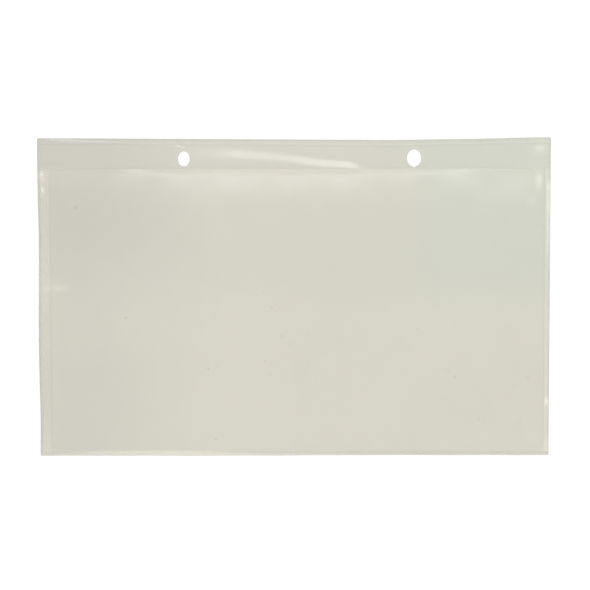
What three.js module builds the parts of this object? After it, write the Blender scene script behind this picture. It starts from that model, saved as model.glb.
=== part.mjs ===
// A hanging label holder of milky anti-static film: a flat pocket, open at the top, under a header
// with two punched holes. One sheet is folded round at the foot, and its front leaf is shorter than
// its back leaf and heat-welded to it down both sides.
// Sizes are in millimetres. +Z is up, the front faces -Y, and +X is to the right as seen from it.
// The origin is midway between the two holes, on the back face of the header.

import * as THREE from "three";

// Film
const filmThickness = 0.2;
const filmGap = 0.1; // between the two leaves where the welds and the fold hold them together

// Outline of the pouch
const pouchWidth = 203;
const headerHeight = 11.75;
const pocketHeight = 115.25;
const cornerRadius = 0.6;

// Hanging holes, punched through the header as upright ovals, their centres at one height
const holePitch = 91;
const holeLand = 0.6; // film left between the taller hole and the crease
const holeOffset = 1.95; // from the pouch's centre line right to the middle of the pair
const leftHoleWidth = 4.6;
const leftHoleHeight = 5.9;
const rightHoleWidth = 5.6;
const rightHoleHeight = 6.8;

// Crease between header and pocket, where the single film bends
const creaseGap = 0.3;
const mouthSetback = 0.4; // the front leaf's mouth edge below the crease, clear of the header

// Side welds, where the front leaf is melted onto the back one
const leftWeldWidth = 4.8;
const rightWeldWidth = 2.1;
const beadWidth = 0.9; // the bead that the melted edge leaves
const beadRise = 0.2;
const ridgePitch = 1.1; // the sealing bar's lines beside the bead
const ridgeRise = 0.06;

// Fold at the foot
const foldHeight = 1.2;

// Front leaf, which springs a little away from the back one between the welds
const bowDepth = 1.6;
const mouthBow = 0.9; // what is left of the bow at the mouth edge, where the leaf curls in again
const curlHeight = 14; // from the mouth edge down to the fullest part of the bow

// Fineness of the facets
const arcSteps = 16;
const holeSteps = 24;
const leafColumns = 28;
const leafRows = 32;
const weldSteps = 6; // facets across one bead or ridge

const holeRise = holeLand + Math.max(leftHoleHeight, rightHoleHeight) / 2;
const footZ = -pocketHeight;
const foldTopZ = footZ + foldHeight;
const mouthZ = -mouthSetback;
const pairThickness = 2 * filmThickness + filmGap;
const leftEdgeX = -pouchWidth / 2;
const rightEdgeX = pouchWidth / 2;
const leafLeftX = leftEdgeX + leftWeldWidth;
const leafRightX = rightEdgeX - rightWeldWidth;
const leafWidth = leafRightX - leafLeftX;
const leafHeight = mouthZ - foldTopZ;

const clearFilm = { roughness: 0.28, metalness: 0, transparent: true, side: THREE.DoubleSide };
const headerMaterial = new THREE.MeshStandardMaterial({ ...clearFilm, color: 0xd4d2c5, opacity: 0.8 });
const backMaterial = new THREE.MeshStandardMaterial({ ...clearFilm, color: 0xd6d4c8, opacity: 0.7 });
const frontMaterial = new THREE.MeshStandardMaterial({ ...clearFilm, color: 0xd8d6ca, opacity: 0.7 });
const leftWeldMaterial = new THREE.MeshStandardMaterial({ ...clearFilm, color: 0xdad8cb, opacity: 0.85 });
const rightWeldMaterial = new THREE.MeshStandardMaterial({ ...clearFilm, color: 0xdcdacd, opacity: 0.85 });
const foldMaterial = new THREE.MeshStandardMaterial({ ...clearFilm, color: 0xcfcdc0, opacity: 0.85 });

// Makes a named mesh for one piece.
function piece(name, geometry, material) {
  geometry.computeVertexNormals();
  const mesh = new THREE.Mesh(geometry, material);
  mesh.name = name;
  return mesh;
}

// Gives an upright outline in X and Z the thickness of the film, with its back face at Y = 0.
function filmPlate(outline) {
  const settings = { depth: filmThickness, bevelEnabled: false, curveSegments: holeSteps };
  return new THREE.ExtrudeGeometry(outline, settings).rotateX(Math.PI / 2);
}

// An upright oval hole.
function ovalHole(x, z, width, height) {
  const hole = new THREE.Path();
  hole.absellipse(x, z, width / 2, height / 2, 0, 2 * Math.PI, true, 0);
  return hole;
}

// The header is the single film above the mouth, with rounded top corners and the two holes.
function headerLip() {
  const bottomZ = creaseGap / 2;
  const shoulderZ = headerHeight - cornerRadius;
  const outline = new THREE.Shape();
  outline.moveTo(leftEdgeX, bottomZ);
  outline.lineTo(rightEdgeX, bottomZ);
  outline.lineTo(rightEdgeX, shoulderZ);
  outline.absarc(rightEdgeX - cornerRadius, shoulderZ, cornerRadius, 0, Math.PI / 2, false);
  outline.absarc(leftEdgeX + cornerRadius, shoulderZ, cornerRadius, Math.PI / 2, Math.PI, false);
  outline.closePath();
  const leftX = holeOffset - holePitch / 2;
  const rightX = holeOffset + holePitch / 2;
  outline.holes.push(ovalHole(leftX, holeRise, leftHoleWidth, leftHoleHeight));
  outline.holes.push(ovalHole(rightX, holeRise, rightHoleWidth, rightHoleHeight));
  return piece("header_lip", filmPlate(outline), headerMaterial);
}

// The back leaf of the pocket, from the crease down to the fold.
function backPanel() {
  const topZ = -creaseGap / 2;
  const outline = new THREE.Shape();
  outline.moveTo(leftEdgeX, foldTopZ);
  outline.lineTo(rightEdgeX, foldTopZ);
  outline.lineTo(rightEdgeX, topZ);
  outline.lineTo(leftEdgeX, topZ);
  outline.closePath();
  return piece("back_panel", filmPlate(outline), backMaterial);
}

// A smooth hump of the given width that starts at the given place.
function hump(place, start, width) {
  const t = (place - start) / width;
  return t > 0 && t < 1 ? Math.sin(Math.PI * t) ** 2 : 0;
}

// Thickness of a weld in front of the back leaf, at a distance in from the pouch's edge.
// Its outer edge is rounded, then come the bead and as many ridges as the weld has room for.
function weldThickness(inset, ridges) {
  const full = filmThickness + filmGap;
  const rounding = Math.min(inset / full, 1);
  let thickness = full * Math.sqrt(1 - (1 - rounding) ** 2) + beadRise * hump(inset, 0, beadWidth);
  for (let k = 0; k < ridges; k += 1) {
    thickness += ridgeRise * hump(inset, beadWidth + k * ridgePitch, ridgePitch);
  }
  return thickness;
}

// A side weld: its cross section in X and Y, drawn up from the fold to the mouth.
// The side is -1 for the left weld, whose inner edge lies to the right, and 1 for the right weld.
function sideWeld(name, side, width, material) {
  const ridges = Math.floor((width - beadWidth) / ridgePitch);
  const steps = weldSteps * (ridges + 2);
  const outline = new THREE.Shape();
  outline.moveTo(side * (pouchWidth / 2), -filmThickness);
  for (let k = 1; k <= steps; k += 1) {
    const inset = (width * k) / steps;
    outline.lineTo(side * (pouchWidth / 2 - inset), -filmThickness - weldThickness(inset, ridges));
  }
  outline.lineTo(side * (pouchWidth / 2 - width), -filmThickness);
  outline.closePath();
  const settings = { depth: leafHeight, bevelEnabled: false };
  const geometry = new THREE.ExtrudeGeometry(outline, settings).translate(0, 0, foldTopZ);
  return piece(name, geometry, material);
}

// The fold is a hairpin of film: a back leg, a round nose at the foot and a front leg.
function bottomFold() {
  const centreY = -pairThickness / 2;
  const noseZ = footZ + pairThickness / 2;
  const outline = new THREE.Shape();
  outline.moveTo(0, foldTopZ);
  outline.lineTo(-filmThickness, foldTopZ);
  outline.absarc(centreY, noseZ, filmGap / 2, 0, -Math.PI, true);
  outline.lineTo(filmThickness - pairThickness, foldTopZ);
  outline.lineTo(-pairThickness, foldTopZ);
  outline.absarc(centreY, noseZ, pairThickness / 2, Math.PI, 2 * Math.PI, false);
  outline.closePath();
  const settings = { depth: pouchWidth, bevelEnabled: false, curveSegments: arcSteps };
  const acrossYZ = new THREE.Matrix4().makeBasis(
    new THREE.Vector3(0, 1, 0),
    new THREE.Vector3(0, 0, 1),
    new THREE.Vector3(1, 0, 0),
  );
  const geometry = new THREE.ExtrudeGeometry(outline, settings).applyMatrix4(acrossYZ);
  return piece("bottom_fold", geometry.translate(leftEdgeX, 0, 0), foldMaterial);
}

// How far the front leaf stands forward at a share of its width and a height above the fold.
function bow(share, height) {
  const fullestHeight = leafHeight - curlHeight;
  const across = Math.sin(Math.PI * share);
  if (height < fullestHeight) {
    return bowDepth * across * Math.sin((Math.PI / 2) * (height / fullestHeight)) ** 2;
  }
  const curled = (height - fullestHeight) / curlHeight;
  return across * (bowDepth - (bowDepth - mouthBow) * curled ** 2);
}

// The front leaf: a grid over its inner face, the same grid one film forward, and its four edges.
function frontFilm(origin) {
  const positions = [];
  for (const faceY of [-filmThickness - filmGap, -pairThickness]) {
    for (let row = 0; row <= leafRows; row += 1) {
      for (let column = 0; column <= leafColumns; column += 1) {
        const share = column / leafColumns;
        const height = (leafHeight * row) / leafRows;
        const x = leafLeftX + leafWidth * share;
        positions.push(x - origin.x, faceY - bow(share, height) - origin.y, height);
      }
    }
  }
  const rowLength = leafColumns + 1;
  const faceLength = rowLength * (leafRows + 1);
  const index = [];
  const quad = (a, b, c, d) => index.push(a, b, c, a, c, d);
  for (let row = 0; row < leafRows; row += 1) {
    for (let column = 0; column < leafColumns; column += 1) {
      const inner = row * rowLength + column;
      const outer = inner + faceLength;
      quad(inner, inner + rowLength, inner + rowLength + 1, inner + 1);
      quad(outer, outer + 1, outer + rowLength + 1, outer + rowLength);
    }
    const left = row * rowLength;
    const right = left + leafColumns;
    quad(left, left + faceLength, left + faceLength + rowLength, left + rowLength);
    quad(right, right + rowLength, right + faceLength + rowLength, right + faceLength);
  }
  for (let column = 0; column < leafColumns; column += 1) {
    const top = leafRows * rowLength + column;
    quad(column, column + 1, column + 1 + faceLength, column + faceLength);
    quad(top, top + faceLength, top + 1 + faceLength, top + 1);
  }
  const geometry = new THREE.BufferGeometry();
  geometry.setAttribute("position", new THREE.Float32BufferAttribute(positions, 3));
  geometry.setIndex(index);
  return piece("front_film", geometry, frontMaterial);
}

// The front leaf opens about the front edge of the fold, so its group has its origin there.
const front = new THREE.Group();
front.position.set(0, -pairThickness, foldTopZ);
front.add(frontFilm(front.position));

const pocket = new THREE.Group();
pocket.add(backPanel());
pocket.add(sideWeld("left_side_weld", -1, leftWeldWidth, leftWeldMaterial));
pocket.add(sideWeld("right_side_weld", 1, rightWeldWidth, rightWeldMaterial));
pocket.add(bottomFold());
pocket.add(front);

// The pouch is drawn from the crease on its own centre line, and hangs from the hole pair.
const pouch = new THREE.Group();
pouch.position.set(-holeOffset, 0, -holeRise);
pouch.add(headerLip());
pouch.add(pocket);

const labelHolder = new THREE.Group();
labelHolder.add(pouch);

export default labelHolder;
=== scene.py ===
import math

import bpy
import numpy as np
from mathutils import Matrix, Vector, geometry


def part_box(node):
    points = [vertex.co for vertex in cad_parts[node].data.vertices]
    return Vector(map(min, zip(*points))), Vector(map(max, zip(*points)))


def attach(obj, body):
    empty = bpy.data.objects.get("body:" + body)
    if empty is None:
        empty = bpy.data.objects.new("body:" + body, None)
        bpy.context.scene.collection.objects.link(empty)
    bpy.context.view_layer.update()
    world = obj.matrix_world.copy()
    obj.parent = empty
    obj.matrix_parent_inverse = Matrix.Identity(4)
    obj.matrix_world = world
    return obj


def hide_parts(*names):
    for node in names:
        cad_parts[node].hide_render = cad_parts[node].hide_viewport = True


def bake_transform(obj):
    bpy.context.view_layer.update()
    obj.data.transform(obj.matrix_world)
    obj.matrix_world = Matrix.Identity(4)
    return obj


# A hanging label holder of milky film. One sheet makes the punched header and the back leaf, a
# shorter front leaf is heat-welded to it down both sides, and the two leaves meet in a hairpin fold
# at the foot. The front faces -Y and +Z is up. Shapes are worked out in millimetres and made in metres.

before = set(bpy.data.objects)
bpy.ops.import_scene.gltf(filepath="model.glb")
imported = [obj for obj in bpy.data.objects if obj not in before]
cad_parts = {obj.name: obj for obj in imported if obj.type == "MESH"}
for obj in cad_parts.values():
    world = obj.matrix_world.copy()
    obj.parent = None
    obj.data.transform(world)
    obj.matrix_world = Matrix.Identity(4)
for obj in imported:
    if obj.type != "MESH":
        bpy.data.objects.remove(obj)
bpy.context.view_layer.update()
MM = 0.001

# Places taken from the solids, in millimetres
header_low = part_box("header_lip")[0] / MM
back_low, back_high = (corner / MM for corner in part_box("back_panel"))
leaf_low, leaf_high = (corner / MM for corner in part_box("front_film"))
fold_low, fold_high = (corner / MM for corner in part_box("bottom_fold"))
left_weld_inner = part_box("left_side_weld")[1].x / MM
right_weld_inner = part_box("right_side_weld")[0].x / MM
LEFT, RIGHT = back_low.x, back_high.x
CREASE = (header_low.z + back_high.z) / 2
FOLD_TOP, FOOT = leaf_low.z, fold_low.z
FILM = back_high.y - back_low.y
LEAF_BACK = leaf_high.y

# The camera stands a little above the holder, square to it. Its angles are in degrees.
CAMERA_AIM = Vector((-1.675, -0.3, -54.48)) * MM
CAMERA_DISTANCE = 1.4
CAMERA_ELEVATION = 7.79
CAMERA_ROLL = -0.108
CAMERA_LENS = 215.0

# Lights: azimuth, elevation, distance, width, height, radiance. The strips stand nearly level with the
# holder, so that film which leans a little upwards catches them and flat film doesn't.
SOFTBOXES = {
    "front_strip": (0, 2.5, 1.6, 1.5, 0.13, 5.5),
    "high_key": (20, 48, 1.8, 1.2, 1.0, 0.9),
    "back_strip": (180, 0.5, 1.6, 1.5, 0.2, 2.5),
}

# White behind the holder, and the softer white all round that lights it
BACKDROP_STRENGTH = 1.03
SOFT_STRENGTH = 0.80

# Floor, in metres
FLOOR_RADIUS = 1.1
FLOOR_DROP = 0.35
FLOOR_SIDES = 96

# Cut edges of the film: the top one runs through these points, and the left one sways a little
CORNER_RADIUS = 0.6
TOP_EDGE = [(-103.5, 8.2), (38.7, 7.2), (58.7, 7.55), (68.6, 7.6), (88.4, 8.1), (99.6, 8.2)]
EDGE_SOFTNESS = 5.0
LEFT_EDGE_SWAY = 0.22
LEFT_EDGE_WAVE = 80.0
LEFT_EDGE_STILL = -14.0
LEFT_EDGE_FADE = 20.0
MOUTH = -4.1

# Punched holes: centre, width and height. The right one has a nick at its foot: its depth, and half
# its spread round the rim, in radians.
LEFT_HOLE = (-45.5, -0.1, 4.6, 5.9)
RIGHT_HOLE = (45.5, 0.1, 5.6, 6.8)
NICK_DEPTH = 0.35
NICK_SPREAD = 0.14

# Front leaf's spring away from the back leaf, and how far its sides reach into the welds
BOW_DEPTH = 1.57
MOUTH_BOW = 0.9
CURL_HEIGHT = 14.0
TUCK = 0.3

# Rows of the front leaf's mesh lie closer together near the mouth, where its relief is finest
LEAF_ROW_CROWDING = 1.35

# Lip along the mouth's cut edge. It turns the other way past its even stretch, and is weak at one place.
LIP_DEPTH = 0.16
LIP_HEIGHT = 3.0
LIP_FADE = 1.4
LIP_EVEN = 55.0
LIP_FADE_WIDTH = 20.0
LIP_WEAK_X = -26.0
LIP_WEAK_WIDTH = 9.0

# Puckers under the lip, which are deepest a little below the mouth
PUCKER_DEPTH = 0.10
PUCKER_PERIOD = 3.5
PUCKER_START = -25.0
PUCKER_DEEPEST = 9.0
PUCKER_HEIGHT = 7.0

# Raised rim of a punched hole and bead under the top edge: distance from the cut, half width, rise
HOLE_RIM = (0.35, 0.3, 0.03)
TOP_BEAD = (1.3, 0.35, 0.03)

# Slow waves of the two leaves
LEAF_WAVE = 0.05
LEAF_RIPPLE = 0.02
BACK_WAVE = 0.20

# Welds. Their backs sink a little into the back leaf, and they rise to a share of their depth.
BEAD_WIDTH = 0.9
BEAD_RISE = 0.2
RIDGE_PITCH = 1.1
RIDGE_RISE = 0.04
WELD_DEPTH = 0.3
WELD_SHARE = 0.92
WELD_SINK = 0.02
WELD_BACK = -FILM - WELD_SINK
WELD_UNEVENNESS = 0.008

# Waves of the fold's foot: depth and length
FOLD_WAVES = [(0.06, 19.0), (0.03, 5.3)]

# The soft roll in the header's middle: x, middle of its upper slope, half that slope's height, slope
HEADER_ROLL = [
    (-52, 2.6, 3.0, 0.000),
    (-38, 2.3, 3.0, 0.032),
    (-25, 1.8, 2.9, 0.058),
    (-5, 0.2, 2.4, 0.054),
    (9, -1.9, 1.9, 0.082),
    (17, -2.3, 1.9, 0.086),
    (21.5, -2.8, 1.7, 0.086),
    (24.5, -3.9, 0.8, 0.050),
    (26.5, -4.4, 0.5, 0.000),
]
ROLL_SOFTNESS = 2.0
ROLL_FOOT = -12.0

# Fine creases in the header: start, end, half width, rise
HEADER_CREASES = {
    "left shoulder": ((-100, 7.2), (-74, 6.1), 0.45, 0.035),
    "left slope": ((-74, 6.1), (-44, 4.2), 0.45, 0.035),
    "right shoulder": ((72, 2.6), (98, 6.8), 0.40, 0.020),
    "left hole fan": ((-45.5, 3.4), (-52, 6.6), 0.40, 0.020),
    "right hole fan": ((49.6, 2.2), (50.2, -2.6), 0.35, 0.035),
}

# Broad bulges of the front leaf below the mouth: x, half width, top, height of the slope, rise.
# The fall below the slope is so many times as long as it.
BULGE_FALL = 3.5
LEAF_BULGES = {
    "left of the middle": (-32, 12, -8.5, 13, 0.14),
    "right of the middle": (42, 14, -2, 14, -0.16),
    "right shoulder": (85, 20, -6, 16, 0.33),
}

# Small swells in the header, the front leaf and the welds: x, z, half width, half height, rise.
# Film is made whiter where it is stretched over a swell, with a painted highlight there,
# # in full at the rise named here.
WHITENING_AND_HIGHLIGHT_RISE = 0.1
HEADER_SWELLS = {
    "right corner": (95.0, 2.8, 3.2, 2.1, 0.125),
}
LEAF_SWELLS = {
    "right mouth corner": (94.9, -9.6, 1.3, 2.4, 0.24),
    "right below mouth": (92.3, -17.2, 1.6, 1.2, 0.05),
    "left wrinkle": (-95.4, -51.8, 3.3, 1.2, 0.13),
}
WELD_SWELLS = {
    "left mouth": (-101.9, -6.4, 0.7, 1.0, 0.19),
    "left below mouth": (-101.6, -8.4, 0.7, 0.8, 0.09),
    "left lower": (-101.5, -12.8, 0.8, 1.2, 0.12),
    "left lowest": (-101.9, -14.9, 0.7, 0.7, 0.06),
    "left wrinkle": (-99.8, -51.9, 2.6, 1.0, 0.05),
    "right upper": (98.7, -11.6, 0.9, 2.4, 0.11),
    "right middle": (98.8, -18.6, 0.9, 4.4, 0.12),
    "right below": (99.0, -31.0, 0.9, 8.5, 0.09),
    "right lower": (98.4, -97.4, 0.9, 1.4, 0.16),
    "right foot": (98.7, -114.6, 0.7, 2.4, 0.08),
}

# Painted highlight and whitening like a swell's, but without its rise: the end of the roll, where the
# film is bent most
PAINTED_HIGHLIGHT_ONLY = {
    "roll's end": (18.6, -2.4, 3.8, 1.0, 0.12),
}

# Specks in the front leaf, each with a pale rim of painted highlight: x, z, radius, darkening
SPECKS = [
    (-88.5, -19.3, 1.35, 0.125),
    (-69.0, -63.4, 1.00, 0.14),
    (-17.0, -54.5, 0.90, 0.045),
    (-15.2, -56.8, 0.90, 0.045),
    (-10.9, -59.1, 0.95, 0.085),
    (-7.1, -71.0, 1.50, 0.050),
    (-3.5, -74.2, 1.80, 0.030),
    (-13.9, -80.8, 1.10, 0.050),
    (-11.5, -86.4, 1.90, 0.035),
    (-36.2, -84.0, 1.05, 0.11),
    (-32.7, -83.0, 1.20, 0.030),
    (-33.4, -112.6, 0.95, 0.10),
    (3.8, -81.5, 1.40, 0.028),
    (46.7, -68.0, 1.00, 0.065),
    (59.2, -84.8, 1.90, 0.030),
    (62.0, -87.5, 1.00, 0.125),
    (71.4, -104.8, 1.00, 0.125),
    (85.2, -91.6, 1.60, 0.030),
    (87.8, -105.1, 2.20, 0.028),
    (91.0, -88.2, 1.80, 0.035),
]
# Each speck's pale rim of painted highlight: its radius as a multiple of the speck's, and its lightening
# as a share of the speck's darkening
SPECK_HIGHLIGHT_SIZE = 2.2
SPECK_HIGHLIGHT_SHARE = 0.15

# A fine upright scratch: x, top, foot
SCRATCH = (-34.0, -49.0, -102.0)

# Painted highlight and shade in fine lines along the header's cut top edge: distance down, half width,
# # change of tone
TOP_EDGE_HIGHLIGHT_AND_SHADE = [(0.8, 0.7, -0.035), (1.7, 0.6, 0.04), (2.4, 0.6, -0.05)]

# Painted light in lines behind the mouth's cut edge: height above it, half width, change of tone
MOUTH_PAINTED_LIGHT = [(0.0, 2.0, 0.035), (0.2, 0.9, 0.01)]

# Fine flecks: how many cells to a metre, a small fleck's radius as a share of its cell, and the draw,
# from 0 to 1, above which a cell has a fleck
FLECK_SCALE = 260.0
FLECK_RADIUS = 0.07
FLECK_DRAW = 0.86

# The sealing bar's lines in the back leaf
SEAL_SOFTNESS = 0.25
SEAL_RISE = 0.02

# Colours of the film: most of it, its upper right part, and what the header's is multiplied by
FILM_COLOUR = (0.850, 0.831, 0.733)
GREENER_FILM = (0.822, 0.836, 0.733)
RICHER = (1.0, 1.0, 0.98)
FILM_IOR = 1.5


def smooth_step(t):
    """Goes smoothly from 0 to 1 as t does."""
    t = np.clip(t, 0, 1)
    return t * t * (3 - 2 * t)


def eased_along(stations, column, x, softness):
    """A value that runs straight from station to station along X, eased where its stretches meet."""
    table = np.array(stations, float)
    spread = np.linspace(-softness, softness, 9)
    samples = [np.interp(x + s, table[:, 0], table[:, column]) for s in spread]
    return np.mean(samples, axis=0)


def top_edge(x):
    """Height of the header's cut edge."""
    return eased_along(TOP_EDGE, 1, x, EDGE_SOFTNESS)


def left_edge(z):
    """The left edge isn't cut quite straight."""
    fade = smooth_step((CREASE - z) / LEFT_EDGE_FADE) * smooth_step((z - FOOT) / LEFT_EDGE_FADE)
    turn = 2 * math.pi * (LEFT_EDGE_STILL - z) / LEFT_EDGE_WAVE
    return LEFT + LEFT_EDGE_SWAY * fade * np.sin(turn)


def edge_gap(x, z):
    """Distance in from the film's cut edges and from the foot."""
    return np.minimum.reduce([x - left_edge(z), RIGHT - x, top_gap(x, z), z - FOOT])


def top_gap(x, z):
    """Distance down from the header's cut edge."""
    return top_edge(x) - z


def hole_gap(x, z):
    """Distance out from the rim of the nearer hole."""
    gaps = []
    for centre_x, centre_z, width, height in (LEFT_HOLE, RIGHT_HOLE):
        across = (x - centre_x) / (width / 2)
        up = (z - centre_z) / (height / 2)
        gaps.append((np.hypot(across, up) - 1) * (width + height) / 4)
    return np.minimum(*gaps)


def header_roll(x, z):
    """The roll across the header: an even upper slope, and a slow fall that ends behind the mouth."""
    middle, half, slope = (eased_along(HEADER_ROLL, k, x, ROLL_SOFTNESS) for k in (1, 2, 3))
    rise = slope * half * 4 / 3 * smooth_step((middle + half - z) / (2 * half))
    fall = smooth_step((z - ROLL_FOOT) / (middle - half - ROLL_FOOT))
    return rise * fall


def crease(x, z, start, end, half_width, rise):
    """A fine raised line between two points. Each end dies away over a fifth of its length."""
    (ax, az), (bx, bz) = start, end
    length = math.hypot(bx - ax, bz - az)
    ux, uz = (bx - ax) / length, (bz - az) / length
    along = ((x - ax) * ux + (z - az) * uz) / length
    aside = (x - ax) * -uz + (z - az) * ux
    ends = smooth_step(along * 5 + 0.5) * smooth_step((1 - along) * 5 + 0.5)
    return rise * ends * np.exp(-((aside / half_width) ** 2))


def line_beside(gap, distance, half_width, rise):
    """A fine raised line that keeps one distance from a cut."""
    return rise * np.exp(-(((gap - distance) / half_width) ** 2))


def swell(x, z, centre_x, centre_z, half_width, half_height, rise):
    """A small round or oval swell."""
    return rise * np.exp(-(((x - centre_x) / half_width) ** 2) - ((z - centre_z) / half_height) ** 2)


def bulge(x, z, centre_x, half_width, top, height, rise):
    """A bulge that comes forward over a short slope and goes back over a long one below it."""
    across = np.exp(-(((x - centre_x) / half_width) ** 2))
    foot = top - (1 + BULGE_FALL) * height
    fall = smooth_step((z - foot) / (BULGE_FALL * height))
    return rise * across * smooth_step((top - z) / height) * fall


def back_waves(x, z):
    """Slow waves of the back leaf, which lies flat at its welds, crease and fold."""
    inward = np.minimum(x - left_weld_inner, right_weld_inner - x)
    held = smooth_step(inward / 30) * smooth_step((z - FOLD_TOP) / 50) * smooth_step((CREASE - z) / 12)
    return BACK_WAVE * held * (1 + np.sin(x / 13 + z / 29) * np.cos(z / 19 - x / 37))


def swells(x, z, places):
    """All the swells of a piece together."""
    return sum(swell(x, z, *place) for place in places.values())


def sheet_relief(x, z):
    """How far the sheet of the header and back leaf stands forward."""
    above_mouth = smooth_step((z - MOUTH) / 1.0)
    relief = sum(crease(x, z, *line) for line in HEADER_CREASES.values())
    rims = line_beside(hole_gap(x, z), *HOLE_RIM)
    bead = line_beside(top_gap(x, z), *TOP_BEAD)
    relief = above_mouth * (relief + rims + bead + swells(x, z, HEADER_SWELLS))
    return relief + header_roll(x, z) + back_waves(x, z)


def mouth_lip(x, below):
    """How far the mouth's cut edge is turned back, at a distance below it."""
    lip = LIP_DEPTH * np.clip(1 - below / LIP_HEIGHT, 0, 1) ** 2
    lip *= 1 - 0.5 * np.exp(-(((x - LIP_WEAK_X) / LIP_WEAK_WIDTH) ** 2))
    return lip * (1 - LIP_FADE * smooth_step((abs(x) - LIP_EVEN) / LIP_FADE_WIDTH))


def mouth_puckers(x, below):
    """Puckers under the lip, at a distance below the mouth."""
    deepest = np.exp(-(((below - PUCKER_DEEPEST) / PUCKER_HEIGHT) ** 2))
    return PUCKER_DEPTH * np.cos((x - PUCKER_START) / PUCKER_PERIOD) * deepest


def leaf_relief(x, z):
    """Fine relief of the front leaf on top of its bow: slow waves, puckers, bulges and the lip."""
    inward = np.minimum(x - left_weld_inner, right_weld_inner - x)
    waves = LEAF_WAVE * np.sin(x / 17 + z / 41) * np.sin(z / 23 - x / 60)
    waves += LEAF_RIPPLE * np.sin(x / 7.1 - z / 31) + mouth_puckers(x, MOUTH - z)
    bulges = sum(bulge(x, z, *place) for place in LEAF_BULGES.values())
    relief = waves * smooth_step((z - FOLD_TOP) / 12) + bulges - mouth_lip(x, MOUTH - z)
    swelling = swells(x, z, LEAF_SWELLS) * smooth_step(inward / 1.5)
    return smooth_step(inward / 8) * relief + swelling


def weld_relief(x, z):
    """Puckers and swells of the welds, where the melt ran unevenly."""
    uneven = WELD_UNEVENNESS * np.sin(z / 4.3 + 2 * np.sin(z / 9)) * np.sin(z / 7.1 + x / 2)
    return uneven + swells(x, z, WELD_SWELLS)


class Wiring:
    """Adds and links the nodes of one tree. A value is a number, a vector or another node's output."""

    def __init__(self, tree):
        self.tree = tree

    def put(self, socket, value):
        """Links another node's output to a socket, or sets its value."""
        if isinstance(value, bpy.types.NodeSocket):
            self.tree.links.new(value, socket)
        else:
            socket.default_value = value

    def add(self, kind, values=None, **settings):
        """Adds a node: its settings come first, then its inputs by name or number."""
        node = self.tree.nodes.new(kind)
        for key, value in settings.items():
            setattr(node, key, value)
        for key, value in (values or {}).items():
            self.put(node.inputs[key], value)
        return node

    def math(self, operation, *values):
        """The number that a math node makes of its values."""
        return self.add("ShaderNodeMath", dict(enumerate(values)), operation=operation).outputs[0]

    def plus(self, a, b):
        """One number plus another."""
        return self.math("ADD", a, b)

    def minus(self, a, b):
        """One number minus another."""
        return self.math("SUBTRACT", a, b)

    def times(self, a, b):
        """One number times another."""
        return self.math("MULTIPLY", a, b)

    def times_plus(self, a, b, c):
        """One number times another, plus a third."""
        return self.math("MULTIPLY_ADD", a, b, c)

    def hump(self, value, turn):
        """The squared sine of a value times a turn."""
        return self.math("POWER", self.math("SINE", self.times(value, turn)), 2.0)

    def vector(self, operation, *values):
        """The vector that a vector math node makes of its values."""
        return self.add("ShaderNodeVectorMath", dict(enumerate(values)), operation=operation).outputs[0]

    def ease(self, value, low, high, start=0.0, end=1.0):
        """Turns a value smoothly from start to end as it goes from low to high."""
        sockets = {"Value": value, "From Min": low, "From Max": high, "To Min": start, "To Max": end}
        return self.add("ShaderNodeMapRange", sockets, interpolation_type="SMOOTHSTEP").outputs[0]

    def mix_colour(self, factor, first, second):
        """Goes from the first colour to the second as the factor goes from 0 to 1."""
        node = self.tree.nodes.new("ShaderNodeMix")
        node.data_type = "RGBA"
        values = {"Factor": factor, "A": first, "B": second}
        for socket in node.inputs:
            if socket.enabled and socket.name in values:
                self.put(socket, values[socket.name])
        return next(socket for socket in node.outputs if socket.enabled)

    def parts(self, vector):
        """A vector's X, Y and Z."""
        return self.add("ShaderNodeSeparateXYZ", {0: vector}).outputs

    def join(self, x, y, z):
        """The vector of an X, a Y and a Z."""
        return self.add("ShaderNodeCombineXYZ", {0: x, 1: y, 2: z}).outputs[0]


def new_material(name):
    """A material, its wiring and its shader."""
    material = bpy.data.materials.new(name)
    material.use_nodes = True
    return material, Wiring(material.node_tree), material.node_tree.nodes["Principled BSDF"]


def new_group(name, kind, inputs, output, output_socket):
    """A node group with named sockets. Returns its wiring, the inner inputs and the inner output."""
    group = bpy.data.node_groups.new(name, kind)
    for title, socket, value in inputs:
        made = group.interface.new_socket(name=title, in_out="INPUT", socket_type=socket)
        if value is not None:
            made.default_value = value
    group.interface.new_socket(name=output, in_out="OUTPUT", socket_type=output_socket)
    wiring = Wiring(group)
    return wiring, wiring.add("NodeGroupInput").outputs, wiring.add("NodeGroupOutput").inputs[0]


def new_form(name, inputs):
    """A Geometry Nodes group that makes one form of the film, in its material."""
    inputs = inputs + [("Material", "NodeSocketMaterial", None)]
    return new_group(name, "GeometryNodeTree", inputs, "Geometry", "NodeSocketGeometry")


def new_effect(name, inputs, output):
    """A shader node group that makes one number, for several materials."""
    return new_group(name, "ShaderNodeTree", inputs, output, "NodeSocketFloat")


def number_inputs(**values):
    """Number sockets for a group, each with its name in words and its usual value."""
    names = {name: name.replace("_", " ").title() for name in values}
    return [(names[name], "NodeSocketFloat", value) for name, value in values.items()]


def vector_inputs(*names):
    """Vector sockets for a group."""
    return [(name, "NodeSocketVector", None) for name in names]


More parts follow.
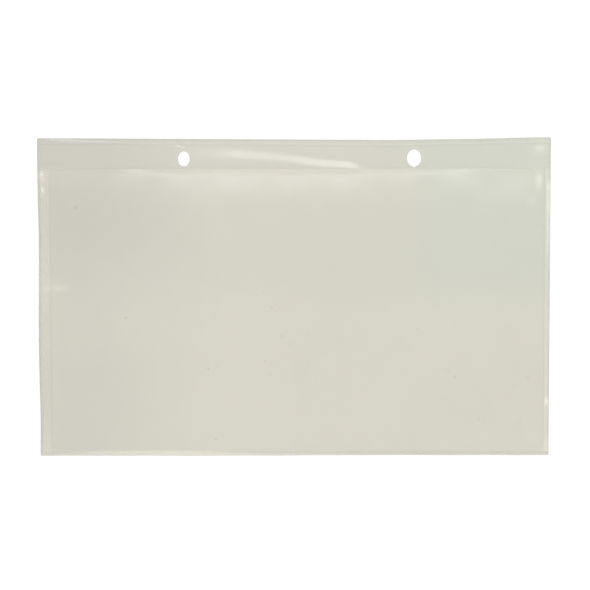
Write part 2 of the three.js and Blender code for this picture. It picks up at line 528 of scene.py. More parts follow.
def film_body_form():
    """Gives an open surface a back: the same surface behind it, or a flat one, with walls between."""
    inputs = [("Surface", "NodeSocketGeometry", None)]
    inputs += number_inputs(thickness=FILM * MM, back_y=0.0)
    inputs += [("Flat Back", "NodeSocketBool", False)]
    tree, given, made = new_form("film_body", inputs)
    pulled = {"Mesh": given["Surface"], "Offset Scale": 0.0, "Individual": False}
    walls = tree.add("GeometryNodeExtrudeMesh", pulled)
    place = tree.parts(tree.add("GeometryNodeInputPosition").outputs[0])
    behind = tree.plus(place[1], given["Thickness"])
    backs = {"Switch": given["Flat Back"], "False": behind, "True": given["Back Y"]}
    back_y = tree.add("GeometryNodeSwitch", backs, input_type="FLOAT")
    moved = {
        "Geometry": walls.outputs["Mesh"],
        "Selection": walls.outputs["Top"],
        "Position": tree.join(place[0], back_y.outputs[0], place[2]),
    }
    back = tree.add("GeometryNodeSetPosition", moved)
    turned = tree.add("GeometryNodeFlipFaces", {"Mesh": back.outputs[0]})
    both = tree.add("GeometryNodeJoinGeometry")
    tree.put(both.inputs[0], turned.outputs[0])
    tree.put(both.inputs[0], given["Surface"])
    closed = tree.add("GeometryNodeMergeByDistance", {"Geometry": both.outputs[0], "Distance": 1e-7})
    real = tree.add("GeometryNodeRealizeInstances", {"Geometry": closed.outputs[0]})
    finish = {"Geometry": real.outputs[0], "Material": given["Material"]}
    painted = tree.add("GeometryNodeSetMaterial", finish)
    tree.put(made, painted.outputs[0])
    return tree.tree


def closed_body(tree, surface, given, thickness, back_y=0.0, flat=False):
    """Puts the film_body group behind an open surface in another form."""
    values = {"Surface": surface, "Thickness": thickness, "Back Y": back_y, "Flat Back": flat}
    values["Material"] = given["Material"]
    return tree.add("GeometryNodeGroup", values, node_tree=film_body).outputs[0]


def unit_grid(tree, columns, rows):
    """A square grid, and how far each point is along its width and its height, from 0 to 1."""
    grid = tree.add("GeometryNodeMeshGrid", {"Vertices X": columns, "Vertices Y": rows})
    place = tree.parts(tree.add("GeometryNodeInputPosition").outputs[0])
    return grid.outputs["Mesh"], tree.plus(place[0], 0.5), tree.plus(place[1], 0.5)


def leaf_form():
    """The front leaf between two shares of its width: it bows forward and curls in at the mouth."""
    inputs = number_inputs(
        left=0.0, right=1.0, bottom=0.0, top=1.0, rest_y=0.0, from_share=0.0, to_share=1.0,
        bow_depth=BOW_DEPTH * MM, mouth_bow=MOUTH_BOW * MM, curl_height=CURL_HEIGHT * MM,
        thickness=FILM * MM,
    )
    inputs += [("Columns", "NodeSocketInt", 80), ("Rows", "NodeSocketInt", 120)]
    tree, given, made = new_form("front_leaf_form", inputs)
    grid, u, v = unit_grid(tree, given["Columns"], given["Rows"])
    share = tree.ease(u, 0.0, 1.0, given["From Share"], given["To Share"])
    share.node.interpolation_type = "LINEAR"
    down = tree.math("POWER", tree.minus(1.0, v), LEAF_ROW_CROWDING)
    height = tree.minus(given["Top"], given["Bottom"])
    width = tree.minus(given["Right"], given["Left"])
    depth = tree.times(down, height)
    x = tree.times_plus(share, width, given["Left"])
    z = tree.minus(given["Top"], depth)
    across = tree.math("SINE", tree.times(share, math.pi))
    rise = tree.minus(height, depth)
    fullest = tree.minus(height, given["Curl Height"])
    climbed = tree.math("MINIMUM", tree.math("DIVIDE", rise, fullest), 1.0)
    swelling = tree.hump(climbed, math.pi / 2)
    past = tree.math("MAXIMUM", tree.minus(rise, fullest), 0.0)
    curled = tree.math("POWER", tree.math("DIVIDE", past, given["Curl Height"]), 2.0)
    lost = tree.times(curled, tree.minus(given["Bow Depth"], given["Mouth Bow"]))
    full_bow = tree.minus(tree.times(given["Bow Depth"], swelling), lost)
    y = tree.minus(given["Rest Y"], tree.times(across, full_bow))
    bowed = tree.add("GeometryNodeSetPosition", {"Geometry": grid, "Position": tree.join(x, y, z)})
    tree.put(made, closed_body(tree, bowed.outputs[0], given, given["Thickness"]))
    return tree.tree


def weld_form():
    """A side weld: a bead along its outer edge and the sealing bar's ridges beside it."""
    inputs = number_inputs(
        outer=0.0, inner=1.0, bottom=0.0, top=1.0, back_y=0.0, depth=WELD_DEPTH * MM,
        bead_width=BEAD_WIDTH * MM, bead_rise=BEAD_RISE * MM,
        ridge_pitch=RIDGE_PITCH * MM, ridge_rise=RIDGE_RISE * MM,
    )
    inputs += [("Columns", "NodeSocketInt", 40), ("Rows", "NodeSocketInt", 200)]
    tree, given, made = new_form("side_weld_form", inputs)
    grid, u, v = unit_grid(tree, given["Columns"], given["Rows"])
    run = tree.minus(given["Inner"], given["Outer"])
    x = tree.times_plus(u, run, given["Outer"])
    height = tree.minus(given["Top"], given["Bottom"])
    z = tree.times_plus(v, height, given["Bottom"])
    inset = tree.times(u, tree.math("ABSOLUTE", run))
    past_edge = tree.math("MINIMUM", tree.math("DIVIDE", inset, given["Depth"]), 1.0)
    rounding = tree.minus(1.0, past_edge)
    roundness = tree.math("SQRT", tree.minus(1.0, tree.math("POWER", rounding, 2.0)))
    in_bead = tree.math("MINIMUM", tree.math("DIVIDE", inset, given["Bead Width"]), 1.0)
    bead = tree.hump(in_bead, math.pi)
    beyond = tree.math("MAXIMUM", tree.minus(inset, given["Bead Width"]), 0.0)
    turns = tree.math("DIVIDE", beyond, given["Ridge Pitch"])
    ridge = tree.hump(turns, math.pi)
    rounded = tree.times(given["Depth"], WELD_SHARE)
    full = tree.times_plus(roundness, rounded, WELD_SINK * MM)
    risen = tree.times_plus(bead, given["Bead Rise"], full)
    risen = tree.times_plus(ridge, given["Ridge Rise"], risen)
    y = tree.minus(given["Back Y"], risen)
    surface = tree.add("GeometryNodeSetPosition", {"Geometry": grid, "Position": tree.join(x, y, z)})
    body = closed_body(tree, surface.outputs[0], given, 0.0, back_y=given["Back Y"], flat=True)
    tree.put(made, body)
    return tree.tree


def new_object(name, data):
    """Makes an object and links it into the scene."""
    made = bpy.data.objects.new(name, data)
    bpy.context.scene.collection.objects.link(made)
    return made


def grow(name, form, values, base=None):
    """Runs a form on an object and keeps the result as a plain mesh."""
    seed = new_object(name + "_seed", base or bpy.data.meshes.new(name))
    modifier = seed.modifiers.new("form", "NODES")
    modifier.node_group = form
    for item in form.interface.items_tree:
        if item.item_type == "SOCKET" and item.in_out == "INPUT" and item.name in values:
            modifier[item.identifier] = values[item.name]
    bpy.context.view_layer.update()
    evaluated = seed.evaluated_get(bpy.context.evaluated_depsgraph_get())
    grown = bpy.data.meshes.new_from_object(evaluated)
    grown.name = name
    bpy.data.objects.remove(seed)
    return new_object(name, grown)


def points_of(mesh):
    """A mesh's points, in millimetres."""
    points = np.empty(len(mesh.vertices) * 3)
    mesh.vertices.foreach_get("co", points)
    return points.reshape(-1, 3) / MM


def place_points(mesh, points):
    """Puts a mesh's points where they are given, in millimetres."""
    mesh.vertices.foreach_set("co", (points * MM).ravel())


def press(piece, relief, behind=None):
    """Pushes a piece's points forward by a relief. Points on a flat back stay where they are."""
    points = points_of(piece.data)
    forward = relief(points[:, 0], points[:, 2])
    if behind is not None:
        forward = np.where(points[:, 1] > behind - 0.005, 0, forward)
    points[:, 1] -= forward
    place_points(piece.data, points)


def finish_film(piece, whitening_and_highlight):
    """Smooth faces with crisp cut edges, and what the materials read: place, gaps, and whitening with
    painted highlights.
    """
    mesh = piece.data
    mesh.shade_smooth()
    mesh.set_sharp_from_angle(angle=math.radians(50))
    points = points_of(mesh)
    x, z = points[:, 0], points[:, 2]
    place = mesh.attributes.new("rest_place", "FLOAT_VECTOR", "POINT")
    place.data.foreach_set("vector", (points * MM).ravel())
    for name, gap in (("edge_gap", edge_gap), ("top_gap", top_gap), ("hole_gap", hole_gap)):
        stored = mesh.attributes.new(name, "FLOAT", "POINT")
        stored.data.foreach_set("value", gap(x, z) * MM)
    whitening_and_highlight_data = mesh.attributes.new("whitening_and_highlight", "FLOAT", "POINT")
    whitening_and_highlight_data.data.foreach_set("value", swells(x, z, whitening_and_highlight) / WHITENING_AND_HIGHLIGHT_RISE)
    mesh.update()


def oval(centre_x, centre_z, width, height, nick=0.0):
    """Points round a punched hole, with a small nick at its foot if it has one."""
    turn = np.linspace(0, 2 * math.pi, 48, endpoint=False)
    below = np.exp(-(((turn - 1.5 * math.pi) / NICK_SPREAD) ** 2)) * nick
    x = centre_x + width / 2 * np.cos(turn)
    z = centre_z + (height / 2 + below) * np.sin(turn)
    return np.column_stack([x, z])


def round_corner(edge, side, turns):
    """Points round a top corner of the sheet. The side is 1 at its right edge and -1 at its left."""
    top = top_edge(edge)
    return [
        (edge - side * CORNER_RADIUS * (1 - math.cos(a)), top - CORNER_RADIUS * (1 - math.sin(a)))
        for a in turns
    ]


def sheet_outline():
    """The cut outline of the header and back leaf, from the fold up and round."""
    rows = np.arange(FOLD_TOP, top_edge(LEFT) - CORNER_RADIUS, 1.0)
    right = [(RIGHT, z) for z in rows]
    left = [(float(left_edge(z)), z) for z in rows[::-1]]
    columns = np.arange(RIGHT - CORNER_RADIUS, LEFT + CORNER_RADIUS, -0.8)
    top = [(x, float(top_edge(x))) for x in columns]
    foot = [(x, FOLD_TOP) for x in np.arange(LEFT + 1, RIGHT, 1.0)]
    turns = np.linspace(0, math.pi / 2, 5)[1:-1]
    right_corner = round_corner(RIGHT, 1, turns)
    left_corner = round_corner(LEFT, -1, turns[::-1])
    return np.array(foot + right + right_corner + top + left_corner + left)


def inside(points, loop):
    """Which points lie inside a closed loop."""
    x, z = points[:, 0], points[:, 1]
    found = np.zeros(len(points), bool)
    for (ax, az), (bx, bz) in zip(loop, np.roll(loop, -1, axis=0)):
        if az != bz:
            crosses = (az > z) != (bz > z)
            found ^= crosses & (x < (bx - ax) * (z - az) / (bz - az) + ax)
    return found


def sheet_fill():
    """Inner points of the sheet: close together in the header and at the crease, wider below."""
    rows = list(np.arange(top_edge(38) + 0.6, CREASE + 1.2, -0.4))
    rows += list(np.arange(CREASE + 1.2, CREASE - 1.2, -0.2))
    header = [(x, z) for z in rows for x in np.arange(LEFT + 0.5, RIGHT, 0.6)]
    below = np.arange(CREASE - 1.8, FOLD_TOP + 1, -2.4)
    back = [(x, z) for z in below for x in np.arange(LEFT + 1.2, RIGHT - 1, 2.4)]
    fill = np.array(header + back)
    edge = edge_gap(fill[:, 0], fill[:, 1])
    hole = hole_gap(fill[:, 0], fill[:, 1])
    lift = fill[:, 1] - FOLD_TOP
    return fill[(edge > 0.35) & (hole > 0.25) & (lift > 0.5)]


def sheet_surface():
    """The flat sheet with its two holes, then pushed into its relief."""
    loops = [sheet_outline(), oval(*LEFT_HOLE), oval(*RIGHT_HOLE, nick=NICK_DEPTH)]
    edges, start = [], 0
    for loop in loops:
        count = len(loop)
        edges += [(start + k, start + (k + 1) % count) for k in range(count)]
        start += count
    places = np.vstack(loops + [sheet_fill()])
    found = geometry.delaunay_2d_cdt([Vector(p) for p in places], edges, [], 0, 1e-5)
    flat = np.array([tuple(p) for p in found[0]])
    faces = np.array(found[2])
    middle = flat[faces].mean(axis=1)
    kept = inside(middle, loops[0]) & ~inside(middle, loops[1]) & ~inside(middle, loops[2])
    front = -FILM - sheet_relief(flat[:, 0], flat[:, 1])
    points = np.column_stack([flat[:, 0], front, flat[:, 1]]) * MM
    mesh = bpy.data.meshes.new("sheet_surface")
    mesh.from_pydata(points.tolist(), [], faces[kept].tolist())
    if mesh.polygons[0].normal.y > 0:
        mesh.flip_normals()
    return mesh


def back_sheet(material):
    """The header and the back leaf, one sheet."""
    values = {"Thickness": FILM * MM, "Flat Back": False, "Material": material}
    piece = grow("header_and_back_sheet", film_body, values, sheet_surface())
    finish_film(piece, {**HEADER_SWELLS, **PAINTED_HIGHLIGHT_ONLY})
    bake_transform(piece)
    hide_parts("header_lip", "back_panel")


def front_half(name, from_share, to_share, material):
    """Half of the front leaf, its edge tucked into the weld."""
    values = {
        "Left": (left_weld_inner - TUCK) * MM,
        "Right": (right_weld_inner + TUCK) * MM,
        "Bottom": FOLD_TOP * MM,
        "Top": MOUTH * MM,
        "Rest Y": (LEAF_BACK - FILM) * MM,
        "From Share": from_share,
        "To Share": to_share,
        "Columns": 100,
        "Rows": 130,
        "Material": material,
    }
    piece = grow(name, front_leaf, values)
    press(piece, leaf_relief)
    finish_film(piece, LEAF_SWELLS)
    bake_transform(piece)
    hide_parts("front_film")


def side_weld(name, outer, inner, columns, node, material):
    """A weld from the fold up to the mouth."""
    values = {
        "Outer": outer * MM,
        "Inner": inner * MM,
        "Bottom": FOLD_TOP * MM,
        "Top": MOUTH * MM,
        "Back Y": WELD_BACK * MM,
        "Columns": columns,
        "Rows": 260,
        "Material": material,
    }
    piece = grow(name, weld_strip, values)
    press(piece, weld_relief, WELD_BACK)
    if outer < inner:
        follow_left_edge(piece)
    else:
        piece.data.flip_normals()
    finish_film(piece, WELD_SWELLS)
    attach(piece, "pocket")
    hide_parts(node)


def follow_left_edge(piece):
    """The left weld's outer side follows the uneven cut; its inner side stays straight."""
    points = points_of(piece.data)
    share = (left_weld_inner - points[:, 0]) / (left_weld_inner - LEFT)
    points[:, 0] += share * (left_edge(points[:, 2]) - LEFT)
    place_points(piece.data, points)


def hairpin(middle, nose, radius):
    """One face of the fold in Y and Z: down the back leg, round the nose and up the front leg."""
    legs = np.linspace(FOLD_TOP, nose, 4)[:-1]
    turns = np.linspace(0, math.pi, 13)
    bend = [(middle + radius * math.cos(a), nose - radius * math.sin(a)) for a in turns]
    return [(middle + radius, z) for z in legs] + bend + [(middle - radius, z) for z in legs[::-1]]


def fold_section():
    """The fold's section: along its outer face, and back along its inner one."""
    radius = (fold_high.y - fold_low.y) / 2
    place = (fold_high.y - radius, FOOT + radius)
    return hairpin(*place, radius) + hairpin(*place, radius - FILM)[::-1]


def bottom_fold(material):
    """The hairpin of film at the foot, a little uneven along its length."""
    loop = fold_section()
    stations = np.linspace(LEFT, RIGHT, 204)
    points = []
    for x in stations:
        sag = sum(depth * math.sin(x / length) for depth, length in FOLD_WAVES)
        for y, z in loop:
            share = (FOLD_TOP - z) / (FOLD_TOP - FOOT)
            points.append((x, y, z + sag * share))
    count = len(loop)
    faces = []
    for k in range(len(stations) - 1):
        for j in range(count):
            a, b = k * count + j, k * count + (j + 1) % count
            faces.append((a, b, b + count, a + count))
    faces.append(tuple(range(count))[::-1])
    faces.append(tuple(range((len(stations) - 1) * count, len(stations) * count)))
    mesh = bpy.data.meshes.new("foot_fold")
    mesh.from_pydata([tuple(c * MM for c in p) for p in points], [], faces)
    mesh.materials.append(material)
    piece = new_object("foot_fold", mesh)
    finish_film(piece, WELD_SWELLS)
    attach(piece, "pocket")
    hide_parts("bottom_fold")


def band_group():
    """A soft line: 1 where a value is at its centre, 0 a half width away."""
    inputs = number_inputs(value=0.0, centre=0.0, half_width=1.0)
    tree, given, made = new_effect("soft_band", inputs, "Mask")
    away = tree.math("ABSOLUTE", tree.minus(given["Value"], given["Centre"]))
    tree.put(made, tree.ease(away, 0.0, given["Half Width"], 1.0, 0.0))
    return tree.tree


def speck_group():
    """A small round mark at one place on the film."""
    inputs = vector_inputs("Place", "Centre") + number_inputs(radius=0.001)
    tree, given, made = new_effect("film_speck", inputs, "Mask")
    flat = tree.vector("MULTIPLY", tree.vector("SUBTRACT", given["Place"], given["Centre"]), (1, 0, 1))
    far = tree.add("ShaderNodeVectorMath", {0: flat}, operation="LENGTH").outputs["Value"]
    core = tree.times(given["Radius"], 0.25)
    tree.put(made, tree.ease(far, core, given["Radius"], 1.0, 0.0))
    return tree.tree


def cloud_group():
    """Slow and fine unevenness over the film: a number near 1."""
    inputs = vector_inputs("Place") + number_inputs(slow=0.05, fine=0.02)
    tree, given, made = new_effect("film_cloud", inputs, "Tone")
    tone = 1.0
    for size, depth in ((14.0, "Slow"), (120.0, "Fine")):
        noise = tree.add("ShaderNodeTexNoise", {"Vector": given["Place"], "Scale": size, "Detail": 3.0})
        swing = tree.minus(noise.outputs["Fac"], 0.5)
        tone = tree.times_plus(swing, given[depth], tone)
    tree.put(made, tone)
    return tree.tree


def fleck_group():
    """Fine flecks and dust caught in the film, in only a few cells. The highest draws are the largest."""
    inputs = vector_inputs("Place") + number_inputs(scale=260.0, radius=0.07)
    tree, given, made = new_effect("film_fleck", inputs, "Mask")
    flat = tree.vector("MULTIPLY", given["Place"], (1, 0, 1))
    cells = tree.add("ShaderNodeTexVoronoi", {"Vector": flat, "Scale": given["Scale"]})
    draw = tree.parts(cells.outputs["Color"])[0]
    chosen = tree.math("GREATER_THAN", draw, FLECK_DRAW)
    reach = tree.times(given["Radius"], tree.times_plus(draw, 12.0, -9.6))
    near = tree.ease(cells.outputs["Distance"], tree.times(reach, 0.4), reach, 1.0, 0.0)
    tree.put(made, tree.times(chosen, near))
    return tree.tree


def relief_group():
    """Fine relief of cast film, in metres: shallow waves, orange peel and drawn lines."""
    inputs = vector_inputs("Place") + number_inputs(waves=20e-6, peel=0.8e-6, lines=0.5e-6)
    tree, given, made = new_effect("film_relief", inputs, "Height")
    height = 0.0
    layers = (
        ("Waves", (1.0, 1.0, 1.6), 45.0, 2.0),
        ("Peel", (1.0, 1.0, 1.0), 900.0, 2.0),
        ("Lines", (1.0, 0.0, 0.03), 1400.0, 3.0),
    )
    for name, whitening_and_highlight_data, scale, detail in layers:
        place = tree.vector("MULTIPLY", given["Place"], whitening_and_highlight_data)
        noise = tree.add("ShaderNodeTexNoise", {"Vector": place, "Scale": scale, "Detail": detail})
        height = tree.times_plus(noise.outputs["Fac"], given[name], height)
    tree.put(made, height)
    return tree.tree


class FilmPaint:
    """One film material under construction: its running tone, milkiness and height."""

    def __init__(self, name, roughness, alpha, gloss, tone=1.0):
        self.material, self.tree, self.shader = new_material(name)
        stored = self.tree.add("ShaderNodeAttribute", attribute_name="rest_place")
        self.place = stored.outputs["Vector"]
        self.x, _, self.z = self.tree.parts(self.place)
        self.roughness = roughness
        self.shader.inputs["IOR"].default_value = FILM_IOR
        self.shader.inputs["Specular IOR Level"].default_value = gloss
        self.milk = alpha
        self.tone = tone
        self.greener = 0.0
        self.richer = 0.0
        self.height = 0.0

    def use(self, group, values):
        """Places a shared node group with this material's own values."""
        return self.tree.add("ShaderNodeGroup", values, node_tree=group).outputs[0]

    def read(self, name):
        """A number stored on the mesh."""
        return self.tree.add("ShaderNodeAttribute", attribute_name=name).outputs["Fac"]

    def band(self, value, centre, half_width):
        """1 at one place, fading to 0 a half width away from it."""
        sizes = {"Centre": centre * MM, "Half Width": half_width * MM}
        return self.use(soft_band, {"Value": value, **sizes})

    def past(self, value, low, high):
        """0 up to one place, and 1 past the next."""
        return self.tree.ease(value, low * MM, high * MM)

    def before(self, value, low, high):
        """1 up to one place, and 0 past the next."""
        return self.tree.ease(value, low * MM, high * MM, 1.0, 0.0)

    def within(self, value, low, high, soften):
        """1 between two places, fading over a softness at each end."""
        rise = self.past(value, low - soften, low + soften)
        fall = self.before(value, high - soften, high + soften)
        return self.both(rise, fall)

    def both(self, a, b):
        """1 only where both masks are."""
        return self.tree.times(a, b)

    def shade(self, mask, amount):
        """Lightens the film where a mask is 1, or darkens it where the amount is below 0."""
        change = self.tree.times_plus(mask, amount, 1.0)
        self.tone = self.tree.times(self.tone, change)

    def thicken(self, mask, amount):
        """Makes the film less clear where a mask is 1."""
        self.milk = self.tree.times_plus(mask, amount, self.milk)

    def cloud(self, slow, fine):
        """Lets the tone vary slowly and finely over the film."""
        tone = self.use(film_cloud, {"Place": self.place, "Slow": slow, "Fine": fine})
        self.tone = self.tree.times(self.tone, tone)

    def rub(self, slow, fine):
        """Handling leaves the gloss uneven: the roughness varies slowly and finely round its value."""
        elsewhere = self.tree.vector("ADD", self.place, (0.31, 0.0, 0.17))
        uneven = self.use(film_cloud, {"Place": elsewhere, "Slow": slow, "Fine": fine})
        roughness = self.tree.times(uneven, self.roughness)
        self.tree.put(self.shader.inputs["Roughness"], roughness)

    def raise_by(self, mask, rise):
        """Raises the surface where a mask is 1."""
        self.height = self.tree.times_plus(mask, rise * MM, self.height)

    def colour(self):
        """The film's colour at each place, scaled by its tone."""
        plain = self.tree.mix_colour(self.greener, (*FILM_COLOUR, 1), (*GREENER_FILM, 1))
        rich = self.tree.vector("MULTIPLY", plain, RICHER)
        scaled = self.tree.vector("SCALE", self.tree.mix_colour(self.richer, plain, rich))
        self.tree.put(scaled.node.inputs["Scale"], self.tone)
        return scaled

    def finish(self, waves, peel, lines):
        """Adds the cast film's fine relief, in metres, and links what has been gathered."""
        relief = {"Place": self.place, "Waves": waves, "Peel": peel, "Lines": lines}
        self.height = self.tree.plus(self.height, self.use(film_relief, relief))
        bump = self.tree.add("ShaderNodeBump", {"Height": self.height, "Distance": 1.0, "Strength": 1.0})
        self.tree.put(self.shader.inputs["Normal"], bump.outputs["Normal"])
        self.rub(slow=0.6, fine=0.4)
        self.tree.put(self.shader.inputs["Base Color"], self.colour())
        self.tree.put(self.shader.inputs["Alpha"], self.tree.math("MINIMUM", self.milk, 1.0))
        return self.material


def shade_regions(paint):
    """The film is darker at its left, has painted shade in a band below the mouth, is greener at its
    upper right, and has its flecks all over."""
    left = paint.before(paint.x, -88, -26)
    paint.shade(left, -0.040)
    paint.shade(paint.both(left, paint.past(paint.z, -50, -24)), -0.045)
    paint.shade(paint.both(left, paint.before(paint.z, -90, -70)), -0.014)
    # Painted shade in a band below the mouth, which takes down the tail of the strip light's highlight
    paint.shade(paint.within(paint.z, -54, -14, 10), -0.025)
    paint.greener = paint.both(paint.past(paint.x, 30, 60), paint.past(paint.z, -72, -40))
    flecks = {"Place": paint.place, "Scale": FLECK_SCALE, "Radius": FLECK_RADIUS}
    paint.shade(paint.use(film_fleck, flecks), -0.05)


def darken_edge(paint, width, amount):
    """A cut edge of film looks darker and denser than its face."""
    edge = paint.band(paint.read("edge_gap"), 0.0, width)
    paint.shade(edge, amount)
    paint.thicken(edge, 0.15)


def show_seals_behind(paint):
    """The sealing bar's lines also show from behind, in the back leaf."""
    below = paint.before(paint.z, MOUTH - 0.3, MOUTH + 0.1)
    left = paint.within(paint.x, LEFT, left_weld_inner, SEAL_SOFTNESS)
    right = paint.within(paint.x, right_weld_inner, RIGHT, SEAL_SOFTNESS)
    seal = paint.both(below, paint.tree.plus(left, right))
    turns = paint.tree.times(paint.x, 2 * math.pi / (RIDGE_PITCH * MM))
    paint.shade(seal, 0.04)
    paint.raise_by(paint.both(seal, paint.tree.math("SINE", turns)), SEAL_RISE)


def sheet_paint():
    """Header and back leaf: one film, dark along its cut edge and holes, with a bead under the top edge
    and painted highlight and shade in fine lines along it, painted light behind the mouth, and in
    the header darker, denser and a little warmer than in the back leaf."""
    paint = FilmPaint("back_film", roughness=0.14, alpha=0.58, gloss=0.61)
    paint.cloud(slow=0.05, fine=0.012)
    shade_regions(paint)
    darken_edge(paint, width=1.1, amount=-0.08)
    top = paint.read("top_gap")
    # Painted highlight and shade in fine lines under the top edge
    for depth, half_width, change in TOP_EDGE_HIGHLIGHT_AND_SHADE:
        paint.shade(paint.band(top, depth, half_width), change)
    paint.shade(paint.band(paint.read("hole_gap"), 0.0, 0.5), -0.12)
    header = paint.past(paint.z, MOUTH - 0.2, MOUTH + 0.2)
    paint.shade(header, -0.15)
    paint.thicken(header, 0.12)
    paint.richer = header
    paint.shade(paint.both(paint.band(top, 0.0, 1.0), paint.past(paint.x, 50, 70)), 0.05)
    paint.shade(paint.both(header, paint.before(paint.x, -88, -60)), -0.012)
    # Painted light behind the mouth's cut edge, against the shade of the front leaf there
    for height, half_width, change in MOUTH_PAINTED_LIGHT:
        paint.shade(paint.band(paint.z, MOUTH + height, half_width), change)
    show_seals_behind(paint)
    # Painted highlight and whitening at the header's swells and at the roll's end
    paint.shade(paint.read("whitening_and_highlight"), 0.06)
    return paint.finish(waves=14e-6, peel=0.6e-6, lines=0.5e-6)


def add_specks(paint):
    """Dark specks, each with a pale rim of painted highlight round it."""
    for x, z, radius, darkening in SPECKS:
        values = {"Place": paint.place, "Centre": (x * MM, 0, z * MM), "Radius": radius * MM}
        paint.shade(paint.use(film_speck, values), -darkening)
        # Painted highlight as a pale rim round the speck
        values["Radius"] = SPECK_HIGHLIGHT_SIZE * radius * MM
        paint.shade(paint.use(film_speck, values), SPECK_HIGHLIGHT_SHARE * darkening)


def leaf_paint():
    """Front leaf: a fine dark line along the mouth's cut edge, a paler strip beside the left weld, a
    painted highlight above the fold's left part, a scratch, and the specks with their painted highlights."""
    paint = FilmPaint("front_film_paint", roughness=0.19, alpha=0.46, gloss=0.62, tone=0.98)
    paint.cloud(slow=0.06, fine=0.015)
    shade_regions(paint)
    paint.shade(paint.band(paint.z, MOUTH, 0.9), -0.04)
    paint.shade(paint.before(paint.x, -98.5, -95), 0.02)
    # Painted highlight of the fold, above its left part
    fold_highlight = paint.band(paint.z, FOOT + 1.5, 0.9)
    paint.shade(paint.both(fold_highlight, paint.within(paint.x, -88, -34, 12)), 0.22)
    # Painted highlight and whitening at the leaf's swells, such as the glint at the mouth's right corner
    paint.shade(paint.read("whitening_and_highlight"), 0.08)
    scratch_x, scratch_top, scratch_foot = SCRATCH
    along = paint.within(paint.z, scratch_foot, scratch_top, 6)
    paint.shade(paint.both(paint.band(paint.x, scratch_x, 0.5), along), -0.015)
    add_specks(paint)
    return paint.finish(waves=16e-6, peel=0.6e-6, lines=0.5e-6)


def weld_paint():
    """Welds: whiter from the heat inside their beads, with whitening and painted highlights at their
    swells, greyer low on the left weld, and darker at the cut edge."""
    paint = FilmPaint("weld_paint", roughness=0.17, alpha=0.52, gloss=0.61)
    paint.cloud(slow=0.05, fine=0.012)
    shade_regions(paint)
    darken_edge(paint, width=0.7, amount=-0.06)
    paint.shade(paint.within(paint.read("edge_gap"), 0.9, 5.4, 1.0), 0.06)
    left = paint.before(paint.x, -90, 90)
    paint.shade(paint.both(left, paint.within(paint.z, -112, -56, 8)), -0.06)
    paint.shade(paint.past(paint.x, 80, 90), 0.02)
    # Painted highlight and whitening at the welds' swells, where the glints are
    paint.shade(paint.read("whitening_and_highlight"), 0.16)
    return paint.finish(waves=6e-6, peel=0.4e-6, lines=0.3e-6)


def fold_paint():
    """Fold: a painted highlight along the nose at its left, and a darker line at its right."""
    paint = FilmPaint("fold_paint", roughness=0.2, alpha=0.56, gloss=0.59)
    paint.cloud(slow=0.05, fine=0.02)
    shade_regions(paint)
    # Painted highlight along the fold's nose at its left, and a darker line at its right
    line = paint.band(paint.z, FOOT + 0.9, 0.8)
    paint.shade(paint.both(line, paint.within(paint.x, -86, -24, 14)), 0.13)
    paint.shade(paint.both(line, paint.past(paint.x, 0, 30)), -0.07)
    # Painted highlight and whitening where the welds' swells reach the fold
    paint.shade(paint.read("whitening_and_highlight"), 0.11)
    return paint.finish(waves=6e-6, peel=0.6e-6, lines=0.5e-6)


def looking_back(azimuth, elevation):
    """The direction of a place round the holder, and the turn that looks back from there."""
    a, e = math.radians(azimuth), math.radians(elevation)
    towards = Vector((math.sin(a) * math.cos(e), -math.cos(a) * math.cos(e), math.sin(e)))
    return towards, towards.to_track_quat("Z", "Y").to_matrix().to_4x4()


def add_camera():
    """Looks square at the holder from a little above."""
    data = bpy.data.cameras.new("camera")
    data.lens = CAMERA_LENS
    data.sensor_width = 36.0
    data.clip_start = 0.05
    data.clip_end = 50.0
    camera = new_object("camera", data)
    towards, turn = looking_back(0, CAMERA_ELEVATION)
    rolled = turn @ Matrix.Rotation(math.radians(CAMERA_ROLL), 4, "Z")
    camera.matrix_world = Matrix.Translation(CAMERA_AIM + towards * CAMERA_DISTANCE) @ rolled
    bpy.context.scene.camera = camera


def add_softbox(name, azimuth, elevation, distance, width, height, radiance):
    """A soft rectangular light that looks at the header. Its radiance is what a mirror would show."""
    data = bpy.data.lights.new(name, "AREA")
    data.shape = "RECTANGLE"
    data.size, data.size_y = width, height
    data.energy = radiance * math.pi * width * height
    light = new_object(name, data)
    towards, turn = looking_back(azimuth, elevation)
    light.matrix_world = Matrix.Translation(towards * distance) @ turn
    light.visible_camera = False


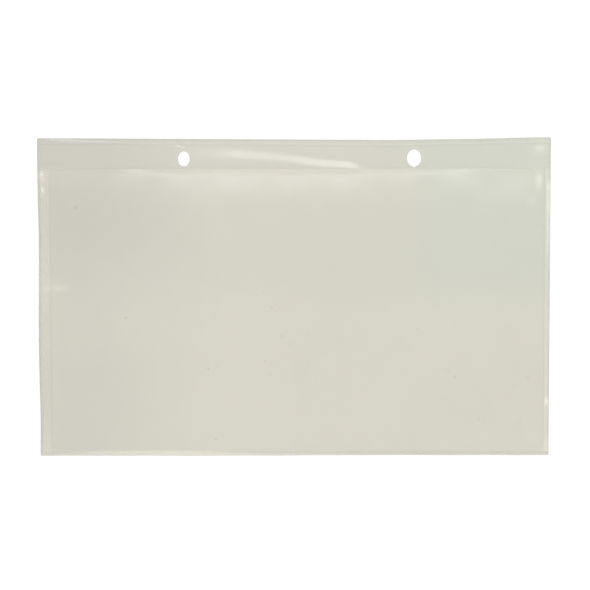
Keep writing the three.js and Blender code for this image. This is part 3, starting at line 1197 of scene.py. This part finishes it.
def add_world():
    """White behind the holder, and a softer white all round to light it."""
    world = bpy.data.worlds.new("studio")
    bpy.context.scene.world = world
    world.use_nodes = True
    tree = Wiring(world.node_tree)
    world.node_tree.nodes.clear()
    white = tree.add("ShaderNodeBackground", {"Color": (1, 1, 1, 1), "Strength": BACKDROP_STRENGTH})
    soft = tree.add("ShaderNodeBackground", {"Color": (1, 1, 1, 1), "Strength": SOFT_STRENGTH})
    seen = tree.add("ShaderNodeLightPath").outputs["Is Camera Ray"]
    mixed = tree.add("ShaderNodeMixShader", {0: seen, 1: soft.outputs[0], 2: white.outputs[0]})
    output = tree.add("ShaderNodeOutputWorld")
    tree.put(output.inputs["Surface"], mixed.outputs[0])


def add_floor():
    """A pale round floor well below the hanging holder."""
    turn = np.linspace(0, 2 * math.pi, FLOOR_SIDES, endpoint=False)
    height = FOOT * MM - FLOOR_DROP
    rim = [(FLOOR_RADIUS * math.cos(a), FLOOR_RADIUS * math.sin(a), height) for a in turn]
    mesh = bpy.data.meshes.new("floor")
    mesh.from_pydata(rim, [], [tuple(range(FLOOR_SIDES))])
    material, tree, shader = new_material("floor_paint")
    place = tree.add("ShaderNodeTexCoord").outputs["Object"]
    grain = tree.add("ShaderNodeTexNoise", {"Vector": place, "Scale": 6.0, "Detail": 4.0})
    pale = tree.ease(grain.outputs["Fac"], 0.3, 0.7, 0.86, 0.9)
    tree.put(shader.inputs["Base Color"], tree.join(pale, pale, pale))
    shader.inputs["Roughness"].default_value = 0.8
    mesh.materials.append(material)
    new_object("floor", mesh)


add_camera()
add_world()
for name, settings in SOFTBOXES.items():
    add_softbox(name, *settings)
add_floor()
bpy.context.scene.view_settings.view_transform = "Standard"
bpy.context.scene.cycles.use_denoising = True

soft_band = band_group()
film_speck = speck_group()
film_cloud = cloud_group()
film_fleck = fleck_group()
film_relief = relief_group()
film_body = film_body_form()
front_leaf = leaf_form()
weld_strip = weld_form()

weld_film = weld_paint()
leaf_film = leaf_paint()
back_sheet(sheet_paint())
front_half("front_leaf_left", 0.0, 0.5, leaf_film)
front_half("front_leaf_right", 0.5, 1.0, leaf_film)
side_weld("left_weld", LEFT, left_weld_inner, 44, "left_side_weld", weld_film)
side_weld("right_weld", RIGHT, right_weld_inner, 24, "right_side_weld", weld_film)
bottom_fold(fold_paint())

bpy.context.view_layer.update()
